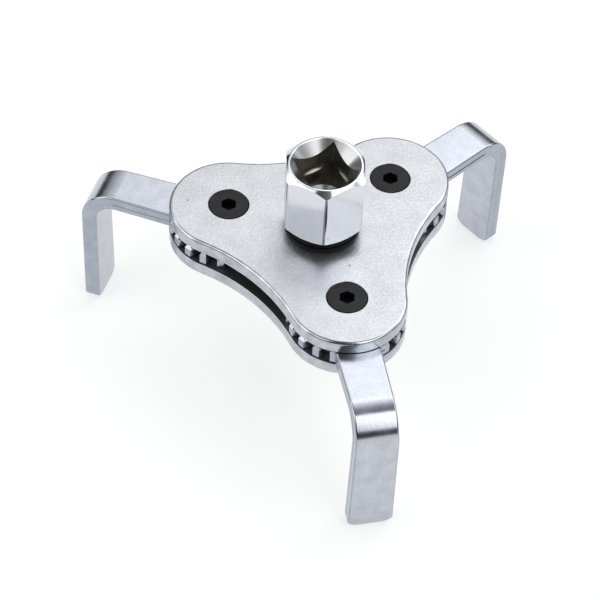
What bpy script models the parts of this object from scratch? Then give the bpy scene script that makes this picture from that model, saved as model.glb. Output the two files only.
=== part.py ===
"""Three-arm oil filter wrench, modelled as its separate pieces.

Two trefoil plates hold a drive spindle on the Z axis and three geared arms around it. The centre gear
meshes with a toothed sector on each arm, so the three arms swing together.
Frame: metres, +Z along the drive axis towards the socket mouth, the origin at the centre of the stem's
lower end face, and one lobe of the plates along -Y. The arms rest 2.8 degrees from radial.
"""
import math

import bmesh
import bpy
from mathutils import Vector

MM = 0.001

# Fits between separate pieces
RUNNING_GAP = 0.20 * MM      # radial, between pieces that turn
SEAT_GAP = 0.25 * MM         # between faces that rest on each other

# Plates: a trefoil with a round lobe over each pivot and a hollow waist between lobes
PIVOT_RADIUS = 26.65 * MM
LOBE_RADIUS = 16.4 * MM
WAIST_DISTANCE = 25.8 * MM
PLATE_THICKNESS = 3.8 * MM
PLATE_EDGE = 0.2 * MM
LOBE_DIRECTIONS = {"front": -90.0, "right": 30.0, "left": 150.0}

# Stack along Z, from the stem's end
STEM_PROUD = 4.0 * MM
ARM_THICKNESS = 4.5 * MM
ARM_SPACE = 5.0 * MM
COLLAR_HEIGHT = 3.95 * MM
HEX_HEIGHT = 20.5 * MM

# Drive hexagon and its square socket
HEX_ACROSS_FLATS = 21.0 * MM
HEX_CORNER_DIRECTION = -103.4
HEX_TOP_RADIUS = 10.05 * MM
HEX_TOP_CHAMFER = 1.7 * MM
HEX_BOTTOM_RADIUS = 10.3 * MM
HEX_BOTTOM_CHAMFER = 1.4 * MM
SQUARE_SIDE = 13.0 * MM
SQUARE_FLAT_DIRECTION = 106.6
SQUARE_DEPTH = 14.5 * MM
MOUTH_RADIUS = 9.6 * MM
DETENT_DEPTH = 8.2 * MM
DETENT_RADIUS = 7.5 * MM
DETENT_HEIGHT = 3.2 * MM
FLOOR_CONE_DEPTH = 3.4 * MM
CENTRE_MARK_RADIUS = 0.4 * MM
DRILL_RADIUS = 6.1 * MM

# Stem below the hexagon
UPPER_JOURNAL_RADIUS = 8.8 * MM
SHANK_ACROSS_FLATS = 14.4 * MM
SHANK_CLEARANCE = 0.1 * MM
LOWER_JOURNAL_RADIUS = 6.8 * MM
STEM_CHAMFER = 0.5 * MM
RING_THICKNESS = 1.1 * MM
RING_BOTTOM = 1.35 * MM
RING_GROOVE_RADIUS = 6.2 * MM
RING_GROOVE_PLAY = 0.1 * MM
RING_OUTER_RADIUS = 8.5 * MM
RING_GAP_DEGREES = 46.0
WASHER_THICKNESS = 1.0 * MM
WASHER_RADIUS = 10.2 * MM
THRUST_WASHER_RADIUS = 10.35 * MM
THRUST_WASHER_HEIGHT = 1.2 * MM
FRICTION_RING_RADIUS = 10.2 * MM
FRICTION_RING_EDGE = 0.6 * MM
RING_EDGE = 0.15 * MM

# Gears
DRIVE_TEETH = 15
ARM_TEETH = 20
PRESSURE_ANGLE = math.radians(20.0)
MODULE = 2.0 * PIVOT_RADIUS / (DRIVE_TEETH + ARM_TEETH)
TOOTH_THINNING = 0.14 * MM   # play, taken off every tooth
TOOTH_SHIFT = 0.45 * MM      # thickness given to the arms' teeth and taken from the centre gear's
ARM_ADDENDUM = 0.7
ARM_DEDENDUM = 1.25
DRIVE_ADDENDUM = 0.85
DRIVE_DEDENDUM = 1.15
ARM_REST_TURN = -2.8
SECTOR_TEETH = 16
SECTOR_TURN = 3.0
FLANK_POINTS = 3

# Arms: a flat blank, bent down through a right angle
BAR_ROOT_WIDTH = 12.4 * MM
BAR_BEND_WIDTH = 11.8 * MM
LEG_TOP_WIDTH = 11.9 * MM
LEG_END_WIDTH = 12.5 * MM
LEG_LEAN = 0.7 * MM
BEND_START = 31.45 * MM
BEND_OUTER_RADIUS = 10.0 * MM
LEG_LENGTH = 33.3 * MM
LEG_CORNER_ACROSS = 3.2 * MM
LEG_CORNER_ALONG = 1.8 * MM
LEG_CORNER_STEPS = 5
BEND_STEPS = 7

# Pivot screws, bushes and nuts (M6)
THREAD_RADIUS = 3.0 * MM
THREAD_CHAMFER = 0.5 * MM
SCREW_HOLE_RADIUS = 3.3 * MM
SCREW_HEAD_RADIUS = 5.4 * MM
SCREW_HEAD_LAND = 0.3 * MM
COUNTERSINK_PLAY = 0.1 * MM
SCREW_KEY_ACROSS_FLATS = 4.0 * MM
SCREW_KEY_DEPTH = 2.4 * MM
SCREW_END_PROUD = 0.3 * MM
BUSH_RADIUS = 5.0 * MM
BUSH_LENGTH = 4.6 * MM
BUSH_CHAMFER = 0.3 * MM
NUT_ACROSS_FLATS = 10.0 * MM
NUT_HEIGHT = 3.0 * MM
NUT_CHAMFER = 0.6 * MM
NUT_FACE_INSET = 0.15 * MM
HEXAGON_TURN = 15.0

# Levels that follow from the stack
BOTTOM_PLATE_LOW = STEM_PROUD
BOTTOM_PLATE_TOP = BOTTOM_PLATE_LOW + PLATE_THICKNESS
TOP_PLATE_LOW = BOTTOM_PLATE_TOP + ARM_SPACE
TOP_PLATE_TOP = TOP_PLATE_LOW + PLATE_THICKNESS
ARM_LOW = BOTTOM_PLATE_TOP + (ARM_SPACE - ARM_THICKNESS) / 2
ARM_TOP = ARM_LOW + ARM_THICKNESS
HEX_LOW = TOP_PLATE_TOP + COLLAR_HEIGHT
HEX_TOP = HEX_LOW + HEX_HEIGHT

# Facets on round pieces
FINE_STEPS = 36
COARSE_STEPS = 20
LOBE_STEPS = 16
WAIST_STEPS = 5
HEAD_STEPS = 60


def clear_scene():
    for old in list(bpy.data.objects):
        bpy.data.objects.remove(old, do_unlink=True)


def plain_finish(name, colour, roughness, metallic=1.0):
    """A Principled material of one colour, roughness and metallic value."""
    finish = bpy.data.materials.new(name)
    finish.use_nodes = True
    shader = finish.node_tree.nodes["Principled BSDF"]
    shader.inputs["Base Color"].default_value = (*colour, 1.0)
    shader.inputs["Roughness"].default_value = roughness
    shader.inputs["Metallic"].default_value = metallic
    return finish


def on_circle(radius, degrees, centre=(0.0, 0.0)):
    angle = math.radians(degrees)
    return Vector((centre[0] + radius * math.cos(angle), centre[1] + radius * math.sin(angle)))


def arc(centre, radius, start, end, steps):
    """Points on an arc, both ends included; the angles are in degrees."""
    return [on_circle(radius, start + (end - start) * i / steps, centre) for i in range(steps + 1)]


def polygon(across_flats, sides, corner_direction=0.0):
    """A regular polygon's corners, from its size across flats."""
    corner_radius = across_flats / 2 / math.cos(math.pi / sides)
    return [on_circle(corner_radius, corner_direction + 360.0 * i / sides) for i in range(sides)]


def prism(outline, low, high, holes=()):
    """A flat plate with the given outline and holes, from low to high."""
    shape = bmesh.new()
    for loop in (outline, *holes):
        corners = [shape.verts.new((point[0], point[1], low)) for point in loop]
        for first, second in zip(corners, corners[1:] + corners[:1]):
            shape.edges.new((first, second))
    bmesh.ops.triangle_fill(shape, edges=shape.edges[:], use_beauty=True)
    raised = bmesh.ops.extrude_face_region(shape, geom=shape.faces[:])
    top = [item for item in raised["geom"] if isinstance(item, bmesh.types.BMVert)]
    bmesh.ops.translate(shape, verts=top, vec=(0.0, 0.0, high - low))
    return shape


def turned(profile, steps=FINE_STEPS):
    """The closed (radius, z) profile, turned once around the Z axis."""
    shape = bmesh.new()
    points = [shape.verts.new((radius, 0.0, z)) for radius, z in profile]
    for first, second in zip(points, points[1:] + points[:1]):
        if first.co.x > 0.0 or second.co.x > 0.0:
            shape.edges.new((first, second))
    bmesh.ops.spin(
        shape, geom=shape.verts[:] + shape.edges[:], cent=(0, 0, 0), axis=(0, 0, 1),
        angle=2 * math.pi, steps=steps, use_merge=True,
    )
    bmesh.ops.remove_doubles(shape, verts=shape.verts[:], dist=0.001 * MM)
    return shape


def make_object(name, shape, finish=None):
    """Turn a bmesh into a named object with outward faces and smooth round surfaces."""
    bmesh.ops.recalc_face_normals(shape, faces=shape.faces[:])
    if shape.calc_volume(signed=True) < 0:
        bmesh.ops.reverse_faces(shape, faces=shape.faces[:])
    mesh = bpy.data.meshes.new(name)
    shape.to_mesh(mesh)
    shape.free()
    if finish:
        mesh.materials.append(finish)
    mesh.shade_smooth()
    mesh.set_sharp_from_angle(angle=math.radians(35.0))
    made = bpy.data.objects.new(name, mesh)
    bpy.context.scene.collection.objects.link(made)
    return made


def combine(target, tool_shape, operation, label):
    """Join, cut or intersect the target with a hidden tool shape."""
    tool = make_object(f"{target.name}_{label}_tool", tool_shape)
    tool.hide_render = True
    tool.display_type = "WIRE"
    step = target.modifiers.new(label, "BOOLEAN")
    step.operation = operation
    step.solver = "EXACT"
    step.object = tool
    return tool


def soften_edges(target, width):
    edge = target.modifiers.new("edge", "BEVEL")
    edge.width = width
    edge.segments = 1
    edge.limit_method = "ANGLE"
    edge.angle_limit = math.radians(50.0)


def pivot_point(lobe):
    """The pivot axis under a lobe, at z = 0."""
    point = on_circle(PIVOT_RADIUS, LOBE_DIRECTIONS[lobe])
    return Vector((point.x, point.y, 0.0))


# --- plates ---------------------------------------------------------------------------------------

def trefoil():
    """Lobe arcs joined by waist arcs that are tangent to them."""
    spread = PIVOT_RADIUS ** 2 + WAIST_DISTANCE ** 2 - PIVOT_RADIUS * WAIST_DISTANCE - LOBE_RADIUS ** 2
    waist_radius = spread / (2 * LOBE_RADIUS + PIVOT_RADIUS - 2 * WAIST_DISTANCE)
    waist_centre = on_circle(WAIST_DISTANCE + waist_radius, 60.0)
    to_waist = waist_centre - Vector((PIVOT_RADIUS, 0.0))
    tangent = math.degrees(math.atan2(to_waist.y, to_waist.x))
    half_waist = tangent - 60.0
    outline = []
    for lobe in LOBE_DIRECTIONS.values():
        centre = on_circle(PIVOT_RADIUS, lobe)
        outline += arc(centre, LOBE_RADIUS, lobe - tangent, lobe + tangent, LOBE_STEPS)
        centre = on_circle(WAIST_DISTANCE + waist_radius, lobe + 60.0)
        facing = lobe + 240.0
        outline += arc(centre, waist_radius, facing + half_waist, facing - half_waist, WAIST_STEPS)[1:-1]
    return outline


def plate(name, low, centre_hole_radius, finish):
    holes = [arc((0, 0), centre_hole_radius, 0, 360, FINE_STEPS)[:-1]]
    for lobe in LOBE_DIRECTIONS:
        holes.append(arc(pivot_point(lobe)[:2], SCREW_HOLE_RADIUS, 0, 360, COARSE_STEPS)[:-1])
    shape = prism(trefoil(), low, low + PLATE_THICKNESS, holes)
    made = make_object(name, shape, finish)
    soften_edges(made, PLATE_EDGE)
    return made


def countersink(target, lobe):
    """A seat for the flat screw head, with a short straight land at its mouth."""
    mouth = SCREW_HEAD_RADIUS + SEAT_GAP
    land = TOP_PLATE_TOP - SCREW_HEAD_LAND - COUNTERSINK_PLAY
    throat = SCREW_HOLE_RADIUS + COUNTERSINK_PLAY / 2
    point = land - (mouth - throat)
    above = TOP_PLATE_TOP + MM
    cutter = turned([(0, point), (throat, point), (mouth, land), (mouth, above), (0, above)])
    tool = combine(target, cutter, "DIFFERENCE", f"seat_{lobe}")
    tool.location = pivot_point(lobe)


# --- drive spindle --------------------------------------------------------------------------------

def drive_socket(finish):
    """Hexagon head, its square socket, and the stem that carries the centre gear."""
    corner = HEX_ACROSS_FLATS / 2 / math.cos(math.pi / 6)
    wide = corner + MM
    slope_top = HEX_TOP_CHAMFER / (corner - HEX_TOP_RADIUS)
    slope_bottom = HEX_BOTTOM_CHAMFER / (corner - HEX_BOTTOM_RADIUS)
    hexagon = polygon(HEX_ACROSS_FLATS, 6, HEX_CORNER_DIRECTION)
    socket = make_object("drive_socket", prism(hexagon, HEX_LOW, HEX_TOP), finish)
    envelope = turned([
        (0, HEX_LOW), (HEX_BOTTOM_RADIUS, HEX_LOW),
        (wide, HEX_LOW + slope_bottom * (wide - HEX_BOTTOM_RADIUS)),
        (wide, HEX_TOP - slope_top * (wide - HEX_TOP_RADIUS)),
        (HEX_TOP_RADIUS, HEX_TOP), (0, HEX_TOP),
    ], HEAD_STEPS)
    combine(socket, envelope, "INTERSECT", "chamfers")
    combine(socket, stem(), "UNION", "stem")
    shank = polygon(SHANK_ACROSS_FLATS, 6, ARM_REST_TURN)
    shank_low = BOTTOM_PLATE_TOP + SHANK_CLEARANCE
    combine(socket, prism(shank, shank_low, TOP_PLATE_LOW + MM / 2), "UNION", "shank")
    cut_square_socket(socket)
    return socket


def stem():
    """The turned stem: lower journal with a ring groove, and the wider upper journal."""
    groove_low = RING_BOTTOM - RING_GROOVE_PLAY
    groove_high = RING_BOTTOM + RING_THICKNESS + RING_GROOVE_PLAY
    shoulder = TOP_PLATE_LOW + SHANK_CLEARANCE
    inside_head = HEX_LOW + MM
    return turned([
        (0, 0), (LOWER_JOURNAL_RADIUS - STEM_CHAMFER, 0), (LOWER_JOURNAL_RADIUS, STEM_CHAMFER),
        (LOWER_JOURNAL_RADIUS, groove_low), (RING_GROOVE_RADIUS, groove_low),
        (RING_GROOVE_RADIUS, groove_high), (LOWER_JOURNAL_RADIUS, groove_high),
        (LOWER_JOURNAL_RADIUS, shoulder), (UPPER_JOURNAL_RADIUS, shoulder),
        (UPPER_JOURNAL_RADIUS, inside_head), (0, inside_head),
    ])


def cut_square_socket(socket):
    """Square hole with a conical mouth, a turned detent groove and a drilled floor."""
    floor = HEX_TOP - SQUARE_DEPTH
    above = MM
    square = polygon(SQUARE_SIDE, 4, SQUARE_FLAT_DIRECTION + 45.0)
    combine(socket, prism(square, floor, HEX_TOP + above), "DIFFERENCE", "square")
    half_side = SQUARE_SIDE / 2
    mouth = turned([(0, HEX_TOP - MOUTH_RADIUS), (MOUTH_RADIUS + above, HEX_TOP + above),
                    (0, HEX_TOP + above)], HEAD_STEPS)
    combine(socket, mouth, "DIFFERENCE", "mouth")
    detent = HEX_TOP - DETENT_DEPTH
    inside = half_side - MM
    flat_half = DETENT_HEIGHT / 5
    groove = turned([
        (inside, detent - DETENT_HEIGHT / 2), (DETENT_RADIUS, detent - flat_half),
        (DETENT_RADIUS, detent + flat_half), (inside, detent + DETENT_HEIGHT / 2),
    ])
    combine(socket, groove, "DIFFERENCE", "detent")
    drill = turned([
        (0, floor - FLOOR_CONE_DEPTH), (CENTRE_MARK_RADIUS, floor - FLOOR_CONE_DEPTH),
        (DRILL_RADIUS, floor), (DRILL_RADIUS, floor + MM), (0, floor + MM),
    ])
    combine(socket, drill, "DIFFERENCE", "floor")


def ring(name, inner, outer, low, high, edge, finish):
    """A turned ring around the drive axis, its outer edges softened by the given width."""
    profile = [(inner, low), (outer - edge, low), (outer, low + edge), (outer, high - edge),
               (outer - edge, high), (inner, high)]
    return make_object(name, turned(profile), finish)


def retaining_ring(finish):
    """External ring in the stem's groove, open at one side."""
    half_gap = RING_GAP_DEGREES / 2
    inner = RING_GROOVE_RADIUS + RUNNING_GAP
    outline = arc((0, 0), RING_OUTER_RADIUS, half_gap, 360 - half_gap, FINE_STEPS)
    outline += arc((0, 0), inner, 360 - half_gap, half_gap, FINE_STEPS)
    shape = prism(outline, RING_BOTTOM, RING_BOTTOM + RING_THICKNESS)
    return make_object("retaining_ring", shape, finish)


# --- gears ----------------------------------------------------------------------------------------

def flank(teeth, addendum, dedendum, extra):
    """(radius, half angle in degrees) along one involute flank, from root to tip.

    Extra is added to the standard tooth thickness.
    """
    pitch = MODULE * teeth / 2
    base = pitch * math.cos(PRESSURE_ANGLE)
    root = pitch - dedendum * MODULE
    tip = pitch + addendum * MODULE
    half_at_pitch = math.pi / (2 * teeth) + (extra - TOOTH_THINNING) / (2 * pitch)

    def involute(radius):
        angle = math.acos(min(1.0, base / radius))
        return math.tan(angle) - angle

    def half_angle(radius):
        return math.degrees(half_at_pitch + involute(pitch) - involute(radius))

    start = max(base, root)
    points = [(root, half_angle(start) * 1.15)]
    points += [(radius, half_angle(radius)) for radius in
               (start + (tip - start) * i / FLANK_POINTS for i in range(FLANK_POINTS + 1))]
    return points


def rising(side, centre):
    """The flank that climbs from root to tip, going anticlockwise."""
    return [on_circle(radius, centre - half) for radius, half in side]


def falling(side, centre):
    """The flank that drops from tip to root, going anticlockwise."""
    return [on_circle(radius, centre + half) for radius, half in reversed(side)]


def drive_gear(finish):
    side = flank(DRIVE_TEETH, DRIVE_ADDENDUM, DRIVE_DEDENDUM, -TOOTH_SHIFT)
    pitch = 360.0 / DRIVE_TEETH
    start = LOBE_DIRECTIONS["front"] - (ARM_REST_TURN + SECTOR_TURN) * ARM_TEETH / DRIVE_TEETH
    outline = []
    for number in range(DRIVE_TEETH):
        centre = start + number * pitch
        outline += rising(side, centre) + falling(side, centre)
    bore = polygon(SHANK_ACROSS_FLATS + 2 * RUNNING_GAP, 6, ARM_REST_TURN)
    return make_object("drive_gear", prism(outline, ARM_LOW, ARM_TOP, [bore]), finish)


# --- arms -----------------------------------------------------------------------------------------

def leg_end(end):
    """Points of the leg's rounded corner, from the end face to the side."""
    half = LEG_END_WIDTH / 2
    points = []
    for number in range(LEG_CORNER_STEPS + 1):
        angle = math.pi / 2 * number / LEG_CORNER_STEPS
        points.append(Vector((end - LEG_CORNER_ALONG * (1 - math.cos(angle)),
                              half - LEG_CORNER_ACROSS * (1 - math.sin(angle)))))
    return points


def arm_outline():
    """The flat blank: toothed sector around the pivot, bar, and rounded leg end along +X."""
    pitch = 360.0 / ARM_TEETH
    side = flank(ARM_TEETH, ARM_ADDENDUM, ARM_DEDENDUM, TOOTH_SHIFT)
    tip = side[-1][0]
    bar_angle = math.degrees(math.asin(BAR_ROOT_WIDTH / 2 / tip))
    leg_start = BEND_START + math.pi / 2 * (BEND_OUTER_RADIUS - ARM_THICKNESS / 2)
    upper_bar = leg_end(leg_start + LEG_LENGTH)
    upper_bar += [Vector((leg_start, LEG_TOP_WIDTH / 2)), Vector((BEND_START, BAR_BEND_WIDTH / 2))]
    lower_bar = [Vector((point.x, -point.y)) for point in reversed(upper_bar)]

    last = 180.0 + SECTOR_TURN - (SECTOR_TEETH + 1) / 2 * pitch
    outline = upper_bar + arc((0, 0), tip, bar_angle, last, 2)[:-1] + falling(side, last)
    for number in range(1, SECTOR_TEETH + 1):
        centre = last + pitch * number
        outline += rising(side, centre) + falling(side, centre)
    outline += rising(side, last + pitch * (SECTOR_TEETH + 1))
    return outline + [on_circle(tip, -bar_angle)] + lower_bar


def bend_down(shape):
    """Bend the blank's far part down through a right angle about a line across the bar."""
    neutral = BEND_OUTER_RADIUS - ARM_THICKNESS / 2
    bend_length = math.pi / 2 * neutral
    for number in range(BEND_STEPS + 1):
        station = BEND_START + bend_length * number / BEND_STEPS
        everything = shape.verts[:] + shape.edges[:] + shape.faces[:]
        bmesh.ops.bisect_plane(shape, geom=everything, plane_co=(station, 0, 0),
                               plane_no=(1, 0, 0), dist=0.001 * MM)
    centre_z = ARM_TOP - BEND_OUTER_RADIUS
    for corner in shape.verts:
        along = corner.co.x - BEND_START
        if along <= 0:
            continue
        radius = corner.co.z - centre_z
        turn = min(along / neutral, math.pi / 2)
        beyond = max(0.0, along - bend_length)
        lean = LEG_LEAN * beyond / LEG_LENGTH
        corner.co.x = BEND_START + radius * math.sin(turn) - lean
        corner.co.z = centre_z + radius * math.cos(turn) - beyond


def arm(lobe, finish):
    hub = arc((0, 0), BUSH_RADIUS + RUNNING_GAP, 0, 360, FINE_STEPS)[:-1]
    shape = prism(arm_outline(), ARM_LOW, ARM_TOP, [hub])
    bend_down(shape)
    made = make_object(f"arm_{lobe}", shape, finish)
    made.location = pivot_point(lobe)
    made.rotation_euler.z = math.radians(LOBE_DIRECTIONS[lobe] + ARM_REST_TURN)
    return made


# --- pivots ---------------------------------------------------------------------------------------

def pivot_screw(lobe, finish):
    """Flat-head socket screw: countersunk head, plain shank and a hexagon key recess."""
    head_top = TOP_PLATE_TOP
    land = head_top - SCREW_HEAD_LAND
    cone_end = land - (SCREW_HEAD_RADIUS - THREAD_RADIUS)
    end = BOTTOM_PLATE_LOW - SEAT_GAP - NUT_HEIGHT - SCREW_END_PROUD
    shape = turned([
        (0, end), (THREAD_RADIUS - THREAD_CHAMFER, end), (THREAD_RADIUS, end + THREAD_CHAMFER),
        (THREAD_RADIUS, cone_end), (SCREW_HEAD_RADIUS, land), (SCREW_HEAD_RADIUS, head_top), (0, head_top),
    ], COARSE_STEPS)
    screw = make_object(f"pivot_screw_{lobe}", shape, finish)
    hexagon = polygon(SCREW_KEY_ACROSS_FLATS, 6, HEXAGON_TURN)
    key = prism(hexagon, head_top - SCREW_KEY_DEPTH, head_top + MM)
    tool = combine(screw, key, "DIFFERENCE", "key")
    tool.parent = screw
    screw.location = pivot_point(lobe)
    return screw


def pivot_bush(lobe, finish):
    """Sleeve between the plates, on which the arm turns."""
    low = (BOTTOM_PLATE_TOP + TOP_PLATE_LOW - BUSH_LENGTH) / 2
    high = low + BUSH_LENGTH
    bore = SCREW_HOLE_RADIUS
    shape = turned([
        (bore, low), (BUSH_RADIUS - BUSH_CHAMFER, low), (BUSH_RADIUS, low + BUSH_CHAMFER),
        (BUSH_RADIUS, high - BUSH_CHAMFER), (BUSH_RADIUS - BUSH_CHAMFER, high), (bore, high),
    ], COARSE_STEPS)
    bush = make_object(f"pivot_bush_{lobe}", shape, finish)
    bush.location = pivot_point(lobe)
    return bush


def pivot_nut(lobe, finish):
    """Thin hexagon nut under the lower plate, chamfered at its corners."""
    high = BOTTOM_PLATE_LOW - SEAT_GAP
    low = high - NUT_HEIGHT
    corner = NUT_ACROSS_FLATS / 2 / math.cos(math.pi / 6)
    flat = NUT_ACROSS_FLATS / 2 - NUT_FACE_INSET
    bore = arc((0, 0), THREAD_RADIUS + RUNNING_GAP, 0, 360, COARSE_STEPS)[:-1]
    hexagon = polygon(NUT_ACROSS_FLATS, 6, HEXAGON_TURN)
    nut = make_object(f"pivot_nut_{lobe}", prism(hexagon, low, high, [bore]), finish)
    slope = (corner - flat) / NUT_CHAMFER
    wide = corner + NUT_CHAMFER * slope
    envelope = turned([
        (0, low - MM), (flat - MM * slope, low - MM), (wide, low + 2 * NUT_CHAMFER), (wide, high + MM),
        (0, high + MM),
    ], COARSE_STEPS)
    tool = combine(nut, envelope, "INTERSECT", "chamfer")
    tool.parent = nut
    nut.location = pivot_point(lobe)
    return nut


def build():
    clear_scene()
    plate_steel = plain_finish("satin_plate", (0.80, 0.81, 0.84), 0.38)
    arm_steel = plain_finish("satin_arm", (0.78, 0.79, 0.82), 0.30)
    chrome = plain_finish("polished_chrome", (0.86, 0.87, 0.89), 0.12)
    gear_steel = plain_finish("gear_steel", (0.52, 0.52, 0.54), 0.40)
    bush_steel = plain_finish("ground_steel", (0.62, 0.62, 0.63), 0.25)
    spring_steel = plain_finish("spring_steel", (0.16, 0.16, 0.17), 0.45)
    zinc = plain_finish("zinc_plate", (0.70, 0.71, 0.73), 0.40)
    black_oxide = plain_finish("black_oxide", (0.035, 0.035, 0.038), 0.42, 0.7)
    black_washer = plain_finish("black_washer", (0.03, 0.03, 0.032), 0.50, 0.0)
    rubber = plain_finish("black_rubber", (0.018, 0.018, 0.02), 0.65, 0.0)

    top = plate("top_plate", TOP_PLATE_LOW, UPPER_JOURNAL_RADIUS + RUNNING_GAP, plate_steel)
    plate("bottom_plate", BOTTOM_PLATE_LOW, LOWER_JOURNAL_RADIUS + RUNNING_GAP, plate_steel)
    drive_socket(chrome)
    drive_gear(gear_steel)
    collar_bore = UPPER_JOURNAL_RADIUS + RUNNING_GAP
    washer_low = TOP_PLATE_TOP + SEAT_GAP
    washer_top = washer_low + THRUST_WASHER_HEIGHT
    ring("thrust_washer", collar_bore, THRUST_WASHER_RADIUS, washer_low, washer_top, RING_EDGE, black_washer)
    ring("friction_ring", collar_bore, FRICTION_RING_RADIUS, washer_top + SEAT_GAP, HEX_LOW - SEAT_GAP,
         FRICTION_RING_EDGE, rubber)
    stem_bore = LOWER_JOURNAL_RADIUS + RUNNING_GAP
    stem_washer_top = BOTTOM_PLATE_LOW - SEAT_GAP
    ring("stem_washer", stem_bore, WASHER_RADIUS, stem_washer_top - WASHER_THICKNESS, stem_washer_top,
         RING_EDGE, zinc)
    retaining_ring(spring_steel)
    for lobe in LOBE_DIRECTIONS:
        countersink(top, lobe)
        arm(lobe, arm_steel)
        pivot_bush(lobe, bush_steel)
        pivot_screw(lobe, black_oxide)
        pivot_nut(lobe, zinc)


build()
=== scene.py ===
"""The looks of the three-arm oil filter wrench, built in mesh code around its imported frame.

Every CAD node is replaced by a finer piece in the same place: rounded stamped edges, bevelled involute teeth,
bends in small steps, a rounded hexagon and a broached square. Units are metres.
"""
import math

import bmesh
import bpy
from mathutils import Matrix, Vector


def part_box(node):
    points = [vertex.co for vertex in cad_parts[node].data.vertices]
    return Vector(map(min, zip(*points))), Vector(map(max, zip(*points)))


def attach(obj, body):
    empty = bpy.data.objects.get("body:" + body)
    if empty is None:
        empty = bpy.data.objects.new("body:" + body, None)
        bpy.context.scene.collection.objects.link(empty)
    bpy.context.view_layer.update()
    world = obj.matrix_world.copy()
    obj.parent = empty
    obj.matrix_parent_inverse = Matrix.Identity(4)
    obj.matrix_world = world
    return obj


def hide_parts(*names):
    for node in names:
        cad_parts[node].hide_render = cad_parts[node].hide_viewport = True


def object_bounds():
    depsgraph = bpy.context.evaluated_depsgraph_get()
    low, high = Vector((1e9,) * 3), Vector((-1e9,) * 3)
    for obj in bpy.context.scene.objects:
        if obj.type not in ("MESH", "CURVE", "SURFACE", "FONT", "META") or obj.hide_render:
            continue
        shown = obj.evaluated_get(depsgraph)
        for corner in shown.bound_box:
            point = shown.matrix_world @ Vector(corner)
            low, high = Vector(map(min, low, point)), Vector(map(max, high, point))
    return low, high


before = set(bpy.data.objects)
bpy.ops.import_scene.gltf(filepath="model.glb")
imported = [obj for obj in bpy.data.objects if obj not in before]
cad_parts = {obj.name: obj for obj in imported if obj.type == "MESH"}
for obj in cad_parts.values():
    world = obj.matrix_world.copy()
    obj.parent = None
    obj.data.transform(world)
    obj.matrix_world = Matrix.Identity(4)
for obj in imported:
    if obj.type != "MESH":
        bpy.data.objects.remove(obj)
cad_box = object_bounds()

MM = 0.001
LOBES = {"front": -90.0, "right": 30.0, "left": 150.0}  # direction of each pivot, in degrees

# Plates, as in the CAD
PIVOT_RADIUS = 26.65 * MM
LOBE_RADIUS = 16.4 * MM
WAIST_DISTANCE = 25.8 * MM
UPPER_BORE = 9.0 * MM
LOWER_BORE = 7.0 * MM
SCREW_HOLE = 3.3 * MM
SEAT_MOUTH = 5.65 * MM
SEAT_LAND = 0.4 * MM

# Drive spindle, as in the CAD; directions in degrees
HEX_ACROSS_FLATS = 21.0 * MM
HEX_HEIGHT = 20.5 * MM
HEX_CORNER = -103.4
SQUARE_SIDE = 13.0 * MM
SQUARE_CORNER = 151.6
SQUARE_DEPTH = 14.5 * MM
DRILL_RADIUS = 6.1 * MM
DRILL_DEPTH = 3.4 * MM
MOUTH_RADIUS = 9.6 * MM
DETENT_DEPTH = 8.2 * MM
DETENT_RADIUS = 7.5 * MM
STEM_RADIUS = 6.8 * MM
GROOVE_RADIUS = 6.2 * MM
GROOVE_RISE = (1.25 * MM, 2.55 * MM)
SPIGOT_RADIUS = 8.8 * MM
SHANK_ACROSS_FLATS = 14.4 * MM
GEAR_BORE_ACROSS_FLATS = 14.8 * MM
COLLAR_RADIUS = 10.2 * MM
THRUST_WASHER_RADIUS = 10.35 * MM
STEM_WASHER_RADIUS = 10.2 * MM

# Gears and arms, as in the CAD; turns in degrees
DRIVE_TEETH = 15
ARM_TEETH = 20
SECTOR_TEETH = 16
SECTOR_TURN = 3.0
REST_TURN = -2.8
PRESSURE_ANGLE = math.radians(20.0)
MODULE = 2.0 * PIVOT_RADIUS / (DRIVE_TEETH + ARM_TEETH)
TOOTH_THINNING = 0.14 * MM
TOOTH_SHIFT = 0.45 * MM
ARM_ADDENDUM, ARM_DEDENDUM = 0.7, 1.25  # in modules
DRIVE_ADDENDUM, DRIVE_DEDENDUM = 0.85, 1.15
ROOT_FILLET = ((0.0, 1.22), (0.12, 1.06))  # (modules above the root, widening of the tooth)
FLANK_BEVEL, ROOT_BEVEL = 0.6, 0.3  # parts of a tooth's inset that its flanks and roots take
BEND_START = 31.45 * MM
BEND_RADIUS = 10.0 * MM
LEG_LENGTH = 33.3 * MM
LEG_LEAN = 0.7 * MM
HUB_HALF_WIDTH = 6.2 * MM
BAR_HALF_WIDTH = 5.9 * MM
BEND_HALF_WIDTH = 5.95 * MM
CLAW_HALF_WIDTH = 6.25 * MM
CLAW_CORNER = (1.8 * MM, 3.2 * MM)
ARM_BORE = 5.2 * MM
BEND_STEPS = 18

# Pivots, as in the CAD
SCREW_RADIUS = 3.0 * MM
THREAD_ROOT = 2.72 * MM
THREAD_PITCH = 0.55 * MM
HEAD_RADIUS = 5.4 * MM
HEAD_RIM = 0.3 * MM
HEAD_CONE = 2.4 * MM
KEY_ACROSS_FLATS = 4.0 * MM
KEY_DEPTH = 2.4 * MM
BUSH_RADIUS = 5.0 * MM
NUT_ACROSS_FLATS = 10.0 * MM
NUT_CORNER = 5.774 * MM
NUT_FACE_RADIUS = 4.85 * MM
NUT_BEVEL = 0.6 * MM
NUT_BORE = 3.2 * MM
PIVOT_KEY_TURN = 15.0

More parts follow.
